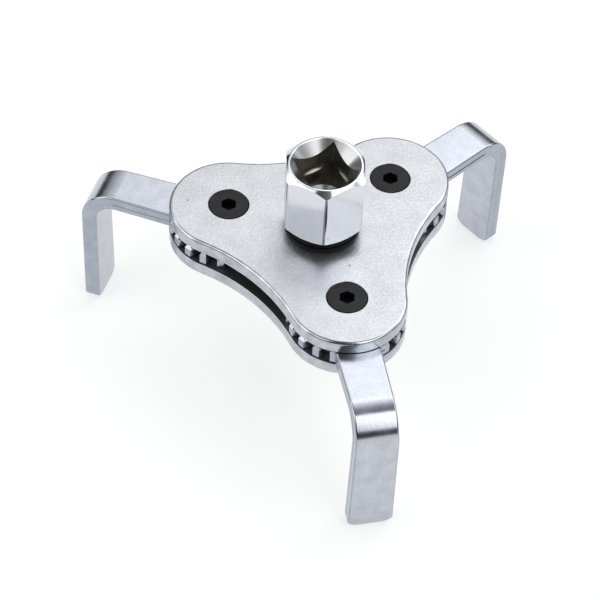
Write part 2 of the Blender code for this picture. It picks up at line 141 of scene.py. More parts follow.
# Levels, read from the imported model
PLATE_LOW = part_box("bottom_plate")[0].z
PLATE_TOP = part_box("bottom_plate")[1].z
COVER_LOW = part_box("top_plate")[0].z
COVER_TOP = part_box("top_plate")[1].z
GEAR_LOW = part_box("drive_gear")[0].z
GEAR_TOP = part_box("drive_gear")[1].z
HEX_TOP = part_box("drive_socket")[1].z
HEX_LOW = HEX_TOP - HEX_HEIGHT
THICKNESS = GEAR_TOP - GEAR_LOW


# --- shapes ---------------------------------------------------------------------------------------

def polar(radius, degrees, centre=(0.0, 0.0)):
    angle = math.radians(degrees)
    return Vector((centre[0] + radius * math.cos(angle), centre[1] + radius * math.sin(angle)))


def arc(centre, radius, start, end, steps):
    return [polar(radius, start + (end - start) * i / steps, centre) for i in range(steps + 1)]


def circle(radius, steps, centre=(0.0, 0.0)):
    return arc(centre, radius, 0.0, 360.0, steps)[:-1]


def rounded_polygon(across_flats, sides, corner_direction, corner_radius, steps=5):
    """A regular polygon whose corners are rounded, anticlockwise."""
    half_turn = 180.0 / sides
    to_centre = (across_flats / 2 - corner_radius) / math.cos(math.radians(half_turn))
    points = []
    for number in range(sides):
        direction = corner_direction + 2 * half_turn * number
        centre = polar(to_centre, direction)
        points += arc(centre, corner_radius, direction - half_turn, direction + half_turn, steps)
    return points


def edge_rows(low, high, low_edge, high_edge, steps=4):
    """(inset, z) rows up a wall whose lower and upper edges are rounded."""
    rows = []
    for number in range(steps + 1):
        angle = math.pi / 2 * number / steps
        rows.append((low_edge * (1 - math.sin(angle)), low + low_edge * (1 - math.cos(angle))))
    for number in range(steps, -1, -1):
        angle = math.pi / 2 * number / steps
        rows.append((high_edge * (1 - math.sin(angle)), high - high_edge * (1 - math.cos(angle))))
    return rows


def walls(loops):
    """A closed solid from stacks of rings: side walls between them and flat faces at both ends."""
    shape = bmesh.new()
    ends = ([], [])
    for rings in loops:
        rows = [[shape.verts.new(point) for point in ring] for ring in rings]
        for lower, upper in zip(rows, rows[1:]):
            for i in range(len(lower)):
                j = (i + 1) % len(lower)
                shape.faces.new((lower[i], lower[j], upper[j], upper[i]))
        for end, row in zip(ends, (rows[0], rows[-1])):
            end += [shape.edges.get((row[i - 1], row[i])) for i in range(len(row))]
    for end in ends:
        bmesh.ops.triangle_fill(shape, edges=end, use_beauty=True)
    return shape


def stack(outline, rows):
    """Rings of an outline that takes an inset, one for each (inset, z) row."""
    return [[(point[0], point[1], z) for point in outline(inset)] for inset, z in rows]


def prism(points, low, high):
    """Rings of a fixed outline at two levels."""
    return [[(point[0], point[1], z) for point in points] for z in (low, high)]


def hole(rows, steps, centre=(0.0, 0.0)):
    """Rings of a round hole, one for each (radius, z) row."""
    return [[(point[0], point[1], z) for point in circle(radius, steps, centre)] for radius, z in rows]


def turned(profile, steps=144):
    """The closed (radius, z) profile, turned around the Z axis."""
    shape = bmesh.new()
    points = [shape.verts.new((radius, 0.0, z)) for radius, z in profile]
    for first, second in zip(points, points[1:] + points[:1]):
        if first.co.x > 0.0 or second.co.x > 0.0:
            shape.edges.new((first, second))
    bmesh.ops.spin(
        shape, geom=shape.verts[:] + shape.edges[:], cent=(0, 0, 0), axis=(0, 0, 1),
        angle=2 * math.pi, steps=steps, use_merge=True,
    )
    bmesh.ops.remove_doubles(shape, verts=shape.verts[:], dist=0.001 * MM)
    return shape


def outward(shape):
    """Turn every face of the closed solid outwards."""
    bmesh.ops.recalc_face_normals(shape, faces=shape.faces[:])
    if shape.calc_volume(signed=True) < 0:
        bmesh.ops.reverse_faces(shape, faces=shape.faces[:])


def to_object(name, shape, finish=None):
    outward(shape)
    mesh = bpy.data.meshes.new(name)
    shape.to_mesh(mesh)
    shape.free()
    if finish:
        mesh.materials.append(finish)
    made = bpy.data.objects.new(name, mesh)
    bpy.context.scene.collection.objects.link(made)
    return made


def carve(target, tool_shape, operation="DIFFERENCE"):
    """Apply one exact Boolean to the target's mesh, and drop the slivers it leaves."""
    tool = to_object("tool", tool_shape)
    step = target.modifiers.new("carve", "BOOLEAN")
    step.operation = operation
    step.solver = "EXACT"
    step.object = tool
    bpy.context.view_layer.update()
    carved = target.evaluated_get(bpy.context.evaluated_depsgraph_get())
    result = bpy.data.meshes.new_from_object(carved)
    clean = bmesh.new()
    clean.from_mesh(result)
    bmesh.ops.dissolve_degenerate(clean, dist=0.002 * MM, edges=clean.edges[:])
    clean.to_mesh(result)
    clean.free()
    target.modifiers.clear()
    old = target.data
    target.data = result
    bpy.data.meshes.remove(old)
    bpy.data.objects.remove(tool, do_unlink=True)


def finish_piece(piece, body, node, sharp=35.0):
    """Shade the piece, make it ride on its CAD body and stand for its CAD node."""
    piece.name = f"{node}_fine"
    piece.data.shade_smooth()
    piece.data.set_sharp_from_angle(angle=math.radians(sharp))
    weighted = piece.modifiers.new("normals", "WEIGHTED_NORMAL")
    weighted.keep_sharp = True
    weighted.weight = 90
    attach(piece, body)
    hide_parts(node)
    return piece


def pivot(lobe):
    return polar(PIVOT_RADIUS, LOBES[lobe])


# --- materials ------------------------------------------------------------------------------------

# Radii between which the rough finish and the painted shade of the arms' tooth roots fade out
TOOTH_ROOT = 12.7 * MM
TOOTH_FACE = 14.9 * MM


class Finish:
    """A node material around one Principled shader, with short helpers for its procedural parts."""

    def __init__(self, name, colour, metallic, roughness, attribute=None):
        self.material = bpy.data.materials.new(name)
        self.material.use_nodes = True
        self.nodes = self.material.node_tree.nodes
        self.links = self.material.node_tree.links
        self.shader = self.nodes["Principled BSDF"]
        self.shader.inputs["Metallic"].default_value = metallic
        self.colour = colour
        self.roughness = roughness
        if attribute:
            stored = self.nodes.new("ShaderNodeAttribute")
            stored.attribute_name = attribute
            self.place = stored.outputs["Vector"]
        else:
            self.place = self.nodes.new("ShaderNodeTexCoord").outputs["Object"]
        self.height = None

    def stretched(self, scale):
        """Object coordinates scaled by axis, for marks that run one way."""
        mapping = self.nodes.new("ShaderNodeMapping")
        mapping.inputs["Scale"].default_value = scale
        self.links.new(self.place, mapping.inputs["Vector"])
        return mapping.outputs["Vector"]

    def noise(self, scale, detail=2.0, place=None, rough=0.5):
        node = self.nodes.new("ShaderNodeTexNoise")
        node.inputs["Scale"].default_value = scale
        node.inputs["Detail"].default_value = detail
        node.inputs["Roughness"].default_value = rough
        self.links.new(place or self.place, node.inputs["Vector"])
        return node.outputs["Fac"]

    def cells(self, scale, place=None):
        node = self.nodes.new("ShaderNodeTexVoronoi")
        node.inputs["Scale"].default_value = scale
        self.links.new(place or self.place, node.inputs["Vector"])
        return node.outputs["Distance"]

    def remap(self, value, low, high, to_low, to_high):
        node = self.nodes.new("ShaderNodeMapRange")
        node.inputs["From Min"].default_value = low
        node.inputs["From Max"].default_value = high
        node.inputs["To Min"].default_value = to_low
        node.inputs["To Max"].default_value = to_high
        self.links.new(value, node.inputs["Value"])
        return node.outputs["Result"]

    def spread(self, noise, to_low, to_high):
        """Noise, which stays around 0.5, spread out between two values."""
        return self.remap(noise, 0.3, 0.7, to_low, to_high)

    def math(self, operation, first, second):
        node = self.nodes.new("ShaderNodeMath")
        node.operation = operation
        for socket, value in zip(node.inputs, (first, second)):
            if isinstance(value, float):
                socket.default_value = value
            else:
                self.links.new(value, socket)
        return node.outputs[0]

    def blend(self, factor, first, second):
        """A colour between two, each a fixed colour or a node's output, by factor."""
        node = self.nodes.new("ShaderNodeMix")
        node.data_type = "RGBA"
        for socket, colour in ((node.inputs[6], first), (node.inputs[7], second)):
            if isinstance(colour, tuple):
                socket.default_value = (*colour, 1.0)
            else:
                self.links.new(colour, socket)
        self.links.new(factor, node.inputs[0])
        return node.outputs[2]

    def bump(self, value, distance, strength=1.0):
        node = self.nodes.new("ShaderNodeBump")
        node.inputs["Distance"].default_value = distance
        node.inputs["Strength"].default_value = strength
        self.links.new(value, node.inputs["Height"])
        if self.height:
            self.links.new(self.height, node.inputs["Normal"])
        self.height = node.outputs["Normal"]

    def done(self, colour, roughness):
        self.links.new(colour, self.shader.inputs["Base Color"])
        self.links.new(roughness, self.shader.inputs["Roughness"])
        if self.height:
            self.links.new(self.height, self.shader.inputs["Normal"])
        return self.material


def scaled(colour, factor):
    return tuple(channel * factor for channel in colour)


def blasted_steel(name, colour, roughness, grain):
    """Bead-blasted plate: fine dimples, soft blotches and a few small dark pits."""
    look = Finish(name, colour, 1.0, roughness)
    blotch = look.noise(170.0, 3.0)
    fine = look.noise(2300.0, 2.0, rough=0.6)
    look.bump(fine, grain)
    look.bump(look.cells(1500.0), grain * 0.6)
    near = look.remap(look.cells(230.0), 0.05, 0.10, 1.0, 0.0)
    rare = look.remap(look.noise(75.0, 1.0), 0.52, 0.56, 0.0, 1.0)
    pit = look.math("MULTIPLY", near, rare)
    look.bump(pit, -0.05 * MM)
    speckle = look.spread(look.noise(1500.0, 1.0), 0.0, 0.6)
    uneven = look.math("ADD", speckle, look.spread(blotch, 0.0, 0.4))
    mottled = look.blend(uneven, scaled(colour, 0.84), scaled(colour, 1.13))
    stained = look.blend(look.math("MULTIPLY", pit, 0.55), mottled, scaled(colour, 0.25))
    return look.done(stained, look.spread(fine, roughness - 0.07, roughness + 0.07))


def drawn_steel(name, colour, roughness, attribute=None):
    """Satin bar steel: faint marks along the bar, blotches from plating, shallow scuffs.

    With the arms' stored flat coordinates, the roots of the teeth are rougher and slightly darker: painted
    shade between the teeth.
    """
    look = Finish(name, colour, 1.0, roughness, attribute)
    along = look.noise(2200.0, 2.0, look.stretched((0.2, 1.0, 0.2)))
    blotch = look.noise(260.0, 3.0)
    grain = look.noise(1500.0, 1.0)
    scuff = look.noise(420.0, 2.0, look.stretched((0.35, 1.0, 0.35)))
    look.bump(along, 0.0006 * MM)
    look.bump(grain, 0.006 * MM)
    look.bump(look.remap(scuff, 0.66, 0.74, 0.0, 1.0), -0.012 * MM)
    patches = look.remap(blotch, 0.32, 0.68, 0.0, 0.6)
    uneven = look.math("ADD", patches, look.spread(grain, 0.0, 0.4))
    mottled = look.blend(uneven, scaled(colour, 0.86), scaled(colour, 1.09))
    if attribute:
        reach = look.nodes.new("ShaderNodeVectorMath")
        reach.operation = "LENGTH"
        look.links.new(look.stretched((1.0, 1.0, 0.0)), reach.inputs[0])
        clean = look.remap(reach.outputs["Value"], TOOTH_ROOT, TOOTH_FACE, 0.0, 1.0)
        # Painted shade: the tooth roots, between the teeth, get a slightly darker colour.
        mottled = look.blend(clean, scaled(colour, 0.95), mottled)
    gloss = look.spread(blotch, roughness - 0.03, roughness + 0.04)
    if attribute:
        gloss = look.math("MAXIMUM", gloss, look.remap(clean, 0.0, 1.0, 0.62, 0.0))
    return look.done(mottled, gloss)


def sheared_steel(name, colour, roughness):
    """The stamped walls of the plates: burnished, with faint upright shear marks and blotches; the darker
    colour it is given paints shade on the walls.
    """
    look = Finish(name, colour, 1.0, roughness)
    marks = look.noise(1300.0, 2.0, look.stretched((1.0, 1.0, 0.12)))
    blotch = look.noise(320.0, 3.0)
    look.bump(marks, 0.004 * MM)
    look.bump(blotch, 0.010 * MM)
    patches = look.remap(blotch, 0.32, 0.68, 0.0, 1.0)
    shade = look.blend(patches, scaled(colour, 0.82), scaled(colour, 1.14))
    return look.done(shade, look.spread(marks, roughness - 0.04, roughness + 0.05))


def polished_steel(name, colour, roughness):
    """Bright chrome: very slight waviness and a little plating grain."""
    look = Finish(name, colour, 1.0, roughness)
    wave = look.noise(120.0, 2.0)
    grain = look.noise(1500.0, 2.0)
    look.bump(wave, 0.03 * MM)
    look.bump(grain, 0.004 * MM)
    shade = look.blend(look.spread(grain, 0.0, 1.0), scaled(colour, 0.97), scaled(colour, 1.03))
    return look.done(shade, look.spread(wave, roughness * 0.8, roughness * 1.3))


def broached_steel(name, colour, roughness):
    """The square socket's walls: lines down the walls from the broach, with dark residue."""
    look = Finish(name, colour, 1.0, roughness)
    lines = look.noise(2400.0, 2.0, look.stretched((1.0, 1.0, 0.03)))
    stain = look.noise(260.0, 3.0)
    look.bump(lines, 0.02 * MM)
    shade = look.blend(look.remap(stain, 0.35, 0.65, 0.0, 1.0), scaled(colour, 0.7), scaled(colour, 1.25))
    return look.done(shade, look.spread(lines, roughness - 0.08, roughness + 0.08))


def dark_finish(name, colour, metallic, roughness, specular, grain):
    """Black oxide, black washer, rubber or the painted shade in the key recess: fine grain with slightly
    uneven gloss.
    """
    look = Finish(name, colour, metallic, roughness)
    look.shader.inputs["Specular IOR Level"].default_value = specular
    fine = look.noise(2800.0, 2.0)
    cloud = look.noise(350.0, 2.0)
    look.bump(fine, grain)
    shade = look.blend(look.spread(cloud, 0.0, 1.0), scaled(colour, 0.8), scaled(colour, 1.3))
    return look.done(shade, look.spread(fine, roughness - 0.08, roughness + 0.08))


PLATE = blasted_steel("plate_look", (0.565, 0.575, 0.60), 0.36, 0.030 * MM)
ARM = drawn_steel("arm_look", (0.505, 0.525, 0.58), 0.21, "blank")
# Glossier steel for the arms' walls, in a darker colour that paints the shade they get.
SHADED_ARM_WALL = drawn_steel("shaded_arm_wall_look", (0.39, 0.42, 0.48), 0.18, "blank")
# Plate walls: smoother, burnished steel whose darker colour is painted shade.
SHEARED_AND_SHADED = sheared_steel("sheared_shaded_look", (0.47, 0.49, 0.53), 0.18)
CHROME = polished_steel("chrome_look", (0.70, 0.715, 0.75), 0.14)
BROACHED = broached_steel("broached_look", (0.33, 0.315, 0.275), 0.34)
MOUTH = polished_steel("mouth_look", (0.40, 0.405, 0.41), 0.26)
# Painted shade for the plates' inner faces, between the plates.
INNER_SHADE = blasted_steel("inner_shade_look", (0.26, 0.26, 0.275), 0.42, 0.010 * MM)
GEAR = drawn_steel("gear_look", (0.14, 0.135, 0.13), 0.38)
BUSH = polished_steel("bush_look", (0.50, 0.50, 0.51), 0.22)
SPRING = dark_finish("spring_look", (0.05, 0.05, 0.055), 0.8, 0.40, 0.5, 0.006 * MM)
ZINC = blasted_steel("zinc_look", (0.50, 0.51, 0.54), 0.34, 0.010 * MM)
OXIDE = dark_finish("oxide_look", (0.016, 0.016, 0.018), 0.3, 0.46, 0.30, 0.010 * MM)
# Painted shade: a near-black, dull finish for the inside of the screws' key recess.
RECESS_SHADE = dark_finish("recess_shade_look", (0.004, 0.004, 0.005), 0.0, 0.60, 0.08, 0.010 * MM)
WASHER = dark_finish("washer_look", (0.010, 0.009, 0.009), 0.0, 0.50, 0.12, 0.008 * MM)
RUBBER = dark_finish("rubber_look", (0.006, 0.006, 0.007), 0.0, 0.55, 0.12, 0.012 * MM)


# --- plates ---------------------------------------------------------------------------------------

def trefoil(inset):
    """Lobe arcs and hollow waist arcs, moved in by the inset."""
    squares = PIVOT_RADIUS ** 2 + WAIST_DISTANCE ** 2 - PIVOT_RADIUS * WAIST_DISTANCE - LOBE_RADIUS ** 2
    waist_radius = squares / (2 * LOBE_RADIUS + PIVOT_RADIUS - 2 * WAIST_DISTANCE)
    waist_centre = polar(WAIST_DISTANCE + waist_radius, 60.0)
    to_waist = waist_centre - Vector((PIVOT_RADIUS, 0.0))
    tangent = math.degrees(math.atan2(to_waist.y, to_waist.x))
    half_waist = tangent - 60.0
    outline = []
    for lobe in LOBES.values():
        outline += arc(polar(PIVOT_RADIUS, lobe), LOBE_RADIUS - inset, lobe - tangent, lobe + tangent, 72)
        centre = polar(WAIST_DISTANCE + waist_radius, lobe + 60.0)
        facing = lobe + 240.0
        outline += arc(centre, waist_radius + inset, facing + half_waist, facing - half_waist, 30)[1:-1]
    return outline


def stamped_rows(low, high, edge):
    """Rows up a stamped wall: rounded on top, torn below a shear line, with a small edge underneath."""
    height = high - low
    rows = edge_rows(low, high, 0.12 * MM, edge)
    torn = [(0.05 * MM, rows[4][1]), (0.06 * MM, low + 0.32 * height)]
    shear_line = [(0.0, low + 0.40 * height)]
    return rows[:4] + torn + shear_line + rows[5:]


def shade_inner_face(plate, level):
    """Painted shade: a darker finish on the face towards the gears, where shade falls between the plates."""
    plate.data.materials.append(INNER_SHADE)
    for face in plate.data.polygons:
        if abs(face.center.z - level) < 0.001 * MM:
            face.material_index = 1


def burnish_and_shade_walls(plate):
    """The outer stamped wall and its rounded edges are smoother than the blasted faces, and darker: painted
    shade.
    """
    plate.data.materials.append(SHEARED_AND_SHADED)
    pivots = [pivot(lobe) for lobe in LOBES]
    beyond_bore, beyond_holes, level_enough = 15.0 * MM, 10.0 * MM, 0.985
    for face in plate.data.polygons:
        spot = face.center.xy
        to_hole = min((spot - centre).length for centre in pivots)
        in_rim = spot.length > beyond_bore and to_hole > beyond_holes
        if in_rim and abs(face.normal.z) < level_enough:
            face.material_index = 2


def make_plates():
    burr, rim = 0.15 * MM, 0.3 * MM
    cover_bore = [(UPPER_BORE + burr, COVER_LOW), (UPPER_BORE, COVER_LOW + burr),
                  (UPPER_BORE, COVER_TOP - rim), (UPPER_BORE + rim, COVER_TOP)]
    land = COVER_TOP - SEAT_LAND
    throat = SCREW_HOLE + 0.05 * MM
    seat = [(throat, COVER_LOW), (throat, land - (SEAT_MOUTH - throat)), (SEAT_MOUTH, land),
            (SEAT_MOUTH, COVER_TOP - 0.1 * MM), (SEAT_MOUTH + 0.1 * MM, COVER_TOP)]
    loops = [stack(trefoil, stamped_rows(COVER_LOW, COVER_TOP, 0.95 * MM)), hole(cover_bore, 120)]
    loops += [hole(seat, 80, pivot(lobe)) for lobe in LOBES]
    cover = to_object("cover", walls(loops), PLATE)
    shade_inner_face(cover, COVER_LOW)
    burnish_and_shade_walls(cover)
    finish_piece(cover, "frame", "top_plate")

    def straight(radius):
        return [(radius + burr, PLATE_LOW), (radius, PLATE_LOW + burr),
                (radius, PLATE_TOP - burr), (radius + burr, PLATE_TOP)]

    upright = stamped_rows(PLATE_LOW, PLATE_TOP, 0.5 * MM)
    turned_over = [(inset, PLATE_LOW + PLATE_TOP - z) for inset, z in reversed(upright)]
    loops = [stack(trefoil, turned_over), hole(straight(LOWER_BORE), 96)]
    loops += [hole(straight(SCREW_HOLE), 64, pivot(lobe)) for lobe in LOBES]
    base = to_object("base", walls(loops), PLATE)
    shade_inner_face(base, PLATE_TOP)
    burnish_and_shade_walls(base)
    finish_piece(base, "frame", "bottom_plate")


# --- gears and arms -------------------------------------------------------------------------------

def flank(teeth, addendum, dedendum, extra, inset, points=6):
    """(radius, half angle in degrees) along an involute flank from root to tip, moved in by the inset."""
    pitch = MODULE * teeth / 2
    base = pitch * math.cos(PRESSURE_ANGLE)
    root = pitch - dedendum * MODULE
    tip = pitch + addendum * MODULE
    half_at_pitch = math.pi / (2 * teeth) + (extra - TOOTH_THINNING) / (2 * pitch)

    def involute(radius):
        angle = math.acos(min(1.0, base / radius))
        return math.tan(angle) - angle

    def half_angle(radius):
        return half_at_pitch + involute(pitch) - involute(radius) - FLANK_BEVEL * inset / radius

    start = max(base, root)
    side = [(root + rise * MODULE - ROOT_BEVEL * inset, math.degrees(half_angle(start)) * widening)
            for rise, widening in ROOT_FILLET]
    for number in range(points + 1):
        radius = start + (tip - start) * number / points
        side.append((radius - inset * number / points, math.degrees(half_angle(radius))))
    return side


def rising(side, centre):
    return [polar(radius, centre - half) for radius, half in side]


def falling(side, centre):
    return [polar(radius, centre + half) for radius, half in reversed(side)]


def gear_outline(inset):
    side = flank(DRIVE_TEETH, DRIVE_ADDENDUM, DRIVE_DEDENDUM, -TOOTH_SHIFT, inset)
    start = LOBES["front"] - (REST_TURN + SECTOR_TURN) * ARM_TEETH / DRIVE_TEETH
    outline = []
    for number in range(DRIVE_TEETH):
        centre = start + number * 360.0 / DRIVE_TEETH
        outline += rising(side, centre) + falling(side, centre)
    return outline


def make_drive_gear():
    bore = rounded_polygon(GEAR_BORE_ACROSS_FLATS, 6, REST_TURN, 0.3 * MM)
    teeth = stack(gear_outline, edge_rows(GEAR_LOW, GEAR_TOP, 0.3 * MM, 0.3 * MM, 2))
    loops = [teeth, prism(bore, GEAR_LOW, GEAR_TOP)]
    finish_piece(to_object("gear", walls(loops), GEAR), "drive", "drive_gear")


def arm_outline(inset, tooth_inset):
    """The flat blank along +X, moved in by the inset; the teeth have an inset of their own."""
    pitch = 360.0 / ARM_TEETH
    side = flank(ARM_TEETH, ARM_ADDENDUM, ARM_DEDENDUM, TOOTH_SHIFT, tooth_inset)
    tip = MODULE * (ARM_TEETH / 2 + ARM_ADDENDUM) - inset
    bar_angle = math.degrees(math.asin((HUB_HALF_WIDTH - inset) / tip))
    leg_start = BEND_START + math.pi / 2 * (BEND_RADIUS - THICKNESS / 2)
    end = leg_start + LEG_LENGTH
    corner_length, corner_width = (size - 0.5 * inset for size in CLAW_CORNER)
    corner_steps = 8
    upper = []
    for number in range(corner_steps + 1):
        angle = math.pi / 2 * number / corner_steps
        upper.append(Vector((end - inset - corner_length * (1 - math.cos(angle)),
                             CLAW_HALF_WIDTH - inset - corner_width * (1 - math.sin(angle)))))
    upper.append(Vector((leg_start, BEND_HALF_WIDTH - inset)))
    upper.append(Vector((BEND_START, BAR_HALF_WIDTH - inset)))
    lower = [Vector((point.x, -point.y)) for point in reversed(upper)]

    last = 180.0 + SECTOR_TURN - (SECTOR_TEETH + 1) / 2 * pitch
    outline = upper + arc((0, 0), tip, bar_angle, last, 6)[:-1] + falling(side, last)
    for number in range(1, SECTOR_TEETH + 1):
        outline += rising(side, last + pitch * number) + falling(side, last + pitch * number)
    outline += rising(side, last + pitch * (SECTOR_TEETH + 1))
    return outline + [polar(tip, -bar_angle)] + lower


def bend_down(shape):
    """Bend the blank's far part down through a right angle; the inner side of the bend bulges a little."""
    neutral = BEND_RADIUS - THICKNESS / 2
    length = math.pi / 2 * neutral
    cuts = [BEND_START + length * number / BEND_STEPS for number in range(BEND_STEPS + 1)]
    cuts += [BEND_START + length + LEG_LENGTH * part for part in (0.08, 0.25, 0.5, 0.75)]
    for station in cuts:
        everything = shape.verts[:] + shape.edges[:] + shape.faces[:]
        bmesh.ops.bisect_plane(shape, geom=everything, plane_co=(station, 0, 0),
                               plane_no=(1, 0, 0), dist=0.001 * MM)
    centre_z = GEAR_TOP - BEND_RADIUS
    blank = shape.verts.layers.float_vector.new("blank")
    for corner in shape.verts:
        corner[blank] = corner.co
        along = corner.co.x - BEND_START
        if along <= 0:
            continue
        radius = corner.co.z - centre_z
        turn = min(along / neutral, math.pi / 2)
        beyond = max(0.0, along - length)
        squeeze = (neutral - radius) / THICKNESS * math.sin(2 * turn) ** 2
        corner.co.y *= 1.0 + 0.03 * squeeze
        corner.co.x = BEND_START + radius * math.sin(turn) - LEG_LEAN * beyond / LEG_LENGTH
        corner.co.z = centre_z + radius * math.cos(turn) - beyond


def make_arm(lobe):
    rows = edge_rows(GEAR_LOW, GEAR_TOP, 0.55 * MM, 0.6 * MM)
    middle = GEAR_LOW + 0.46 * THICKNESS
    groove = 0.14 * MM
    parting_line = [(0.0, middle - 0.30 * MM), (groove, middle - 0.10 * MM),
                    (groove, middle), (0.0, middle + 0.25 * MM)]
    top_bevel, low_bevel = 1.35 * MM, 0.5 * MM
    rows = rows[:5] + parting_line + [(0.0, GEAR_TOP - top_bevel)] + rows[5:]
    rings = []
    for inset, z in rows:
        tooth_inset = max(0.0, top_bevel - (GEAR_TOP - z), low_bevel - (z - GEAR_LOW))
        rings.append([(point[0], point[1], z) for point in arm_outline(inset, tooth_inset)])
    edge = 0.1 * MM
    bore = [(ARM_BORE + edge, GEAR_LOW), (ARM_BORE, GEAR_LOW + edge),
            (ARM_BORE, GEAR_TOP - edge), (ARM_BORE + edge, GEAR_TOP)]
    shape = walls([rings, hole(bore, 72)])
    outward(shape)
    # Upright walls and rounded edges take the second, darker finish: painted shade.
    flat_enough = 0.98
    for face in shape.faces:
        face.material_index = 0 if abs(face.normal.z) > flat_enough else 1
    bend_down(shape)
    turn = Matrix.Rotation(math.radians(LOBES[lobe] + REST_TURN), 4, "Z")
    place = Matrix.Translation((*pivot(lobe), 0.0)) @ turn
    bmesh.ops.transform(shape, matrix=place, verts=shape.verts[:])
    arm = to_object("arm", shape, ARM)
    arm.data.materials.append(SHADED_ARM_WALL)
    finish_piece(arm, f"{lobe}_arm", f"arm_{lobe}")


# --- drive spindle --------------------------------------------------------------------------------

def make_drive_socket():
    """Hexagon with coned ends, square hole with a coned mouth, and the stem with its ring groove."""
    corner = HEX_ACROSS_FLATS / 2 / math.cos(math.pi / 6)
    hexagon = rounded_polygon(HEX_ACROSS_FLATS, 6, HEX_CORNER, 1.35 * MM, 8)
    socket = to_object("socket", walls([prism(hexagon, HEX_LOW, HEX_TOP)]), CHROME)
    wide = corner + MM
    top, top_drop = 10.05 * MM, 1.7 * MM
    low, low_rise = 10.3 * MM, 1.4 * MM
    top_slope = top_drop / (corner - top)
    low_slope = low_rise / (corner - low)
    rim = 0.12 * MM
    envelope = turned([
        (0, HEX_LOW), (low, HEX_LOW), (wide, HEX_LOW + low_slope * (wide - low)),
        (wide, HEX_TOP - top_slope * (wide - top)), (top + rim, HEX_TOP - top_slope * rim),
        (top, HEX_TOP - 0.03 * MM), (top - rim, HEX_TOP), (0, HEX_TOP),
    ], 180)
    carve(socket, envelope, "INTERSECT")

    stem_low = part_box("drive_socket")[0].z
    groove_low, groove_high = (stem_low + rise for rise in GROOVE_RISE)
    shoulder = COVER_LOW + 0.1 * MM
    stem = turned([
        (0, stem_low), (STEM_RADIUS - 0.5 * MM, stem_low), (STEM_RADIUS, stem_low + 0.5 * MM),
        (STEM_RADIUS, groove_low), (GROOVE_RADIUS, groove_low), (GROOVE_RADIUS, groove_high),
        (STEM_RADIUS, groove_high), (STEM_RADIUS, shoulder), (SPIGOT_RADIUS - 0.1 * MM, shoulder),
        (SPIGOT_RADIUS, shoulder + 0.1 * MM), (SPIGOT_RADIUS, HEX_LOW + MM), (0, HEX_LOW + MM),
    ])
    carve(socket, stem, "UNION")
    shank = rounded_polygon(SHANK_ACROSS_FLATS, 6, REST_TURN, 0.3 * MM)
    carve(socket, walls([prism(shank, PLATE_TOP + 0.1 * MM, COVER_LOW + 0.5 * MM)]), "UNION")

    floor = HEX_TOP - SQUARE_DEPTH
    square = rounded_polygon(SQUARE_SIDE, 4, SQUARE_CORNER, 0.12 * MM, 3)
    carve(socket, walls([prism(square, floor, HEX_TOP + MM)]))
    carve(socket, turned([
        (0, HEX_TOP - MOUTH_RADIUS), (MOUTH_RADIUS - rim, HEX_TOP - rim), (MOUTH_RADIUS, HEX_TOP - 0.03 * MM),
        (MOUTH_RADIUS + 2 * rim, HEX_TOP + rim), (MOUTH_RADIUS + MM, HEX_TOP + MM), (0, HEX_TOP + MM),
    ], 180))
    detent = HEX_TOP - DETENT_DEPTH
    half_height = 1.6 * MM
    inside = SQUARE_SIDE / 2 - MM
    bowl = [(DETENT_RADIUS - 2.0 * MM * (1 - math.cos(angle)), detent + half_height * math.sin(angle))
            for angle in (math.radians(-90 + 15 * number) for number in range(13))]
    ends = (inside, detent - half_height), (inside, detent + half_height)
    carve(socket, turned([ends[0]] + bowl + [ends[1]], 96))
    carve(socket, turned([
        (0, floor - DRILL_DEPTH), (0.4 * MM, floor - DRILL_DEPTH), (DRILL_RADIUS, floor),
        (DRILL_RADIUS, floor + MM), (0, floor + MM),
    ], 72))
    socket.data.materials.clear()
    socket.data.materials.append(CHROME)
    socket.data.materials.append(BROACHED)
    socket.data.materials.append(MOUTH)
    hole_reach, rim_depth, near = 9.4 * MM, 0.2 * MM, 0.25 * MM
    for face in socket.data.polygons:
        radius = face.center.xy.length
        depth = HEX_TOP - face.center.z
        in_hole = radius < hole_reach and rim_depth < depth < SQUARE_DEPTH + DRILL_DEPTH + 0.6 * MM
        on_cone = abs(depth - (MOUTH_RADIUS - radius)) < near or depth > SQUARE_DEPTH + 0.1 * MM
        face.material_index = (2 if on_cone else 1) if in_hole else 0
    finish_piece(socket, "drive", "drive_socket", 25.0)


def ring(node, body, slot, finish, inner, outer, edge, steps=4):
    """A turned ring with rounded outer edges, between the levels of its CAD node."""
    low, high = (corner.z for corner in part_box(node))
    rows = edge_rows(low, high, edge, edge, steps)
    profile = [(inner, high), (inner, low)] + [(outer - inset, z) for inset, z in rows]
    return finish_piece(to_object(node, turned(profile), finish), body, node)


def make_rings():
    ring("thrust_washer", "frame", "black_washer", WASHER, UPPER_BORE, THRUST_WASHER_RADIUS, 0.2 * MM)
    ring("friction_ring", "drive", "black_rubber", RUBBER, UPPER_BORE, COLLAR_RADIUS, 0.7 * MM)
    ring("stem_washer", "frame", "zinc_plate", ZINC, LOWER_BORE, STEM_WASHER_RADIUS, 0.15 * MM)
    low, high = (corner.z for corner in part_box("retaining_ring"))
    inner, outer, gap = 6.4 * MM, 8.5 * MM, 23.0

    def outline(inset):
        """An open ring; the inset also moves each of its ends back, by about half as much."""
        outer_gap, inner_gap = gap + inset / MM * 3.0, gap + inset / MM * 4.0
        points = arc((0, 0), outer - inset, outer_gap, 360.0 - outer_gap, 96)
        return points + arc((0, 0), inner + inset, 360.0 - inner_gap, inner_gap, 96)

    shape = walls([stack(outline, edge_rows(low, high, 0.12 * MM, 0.12 * MM, 2))])
    finish_piece(to_object("retaining", shape, SPRING), "drive", "retaining_ring")


# --- pivots ---------------------------------------------------------------------------------------

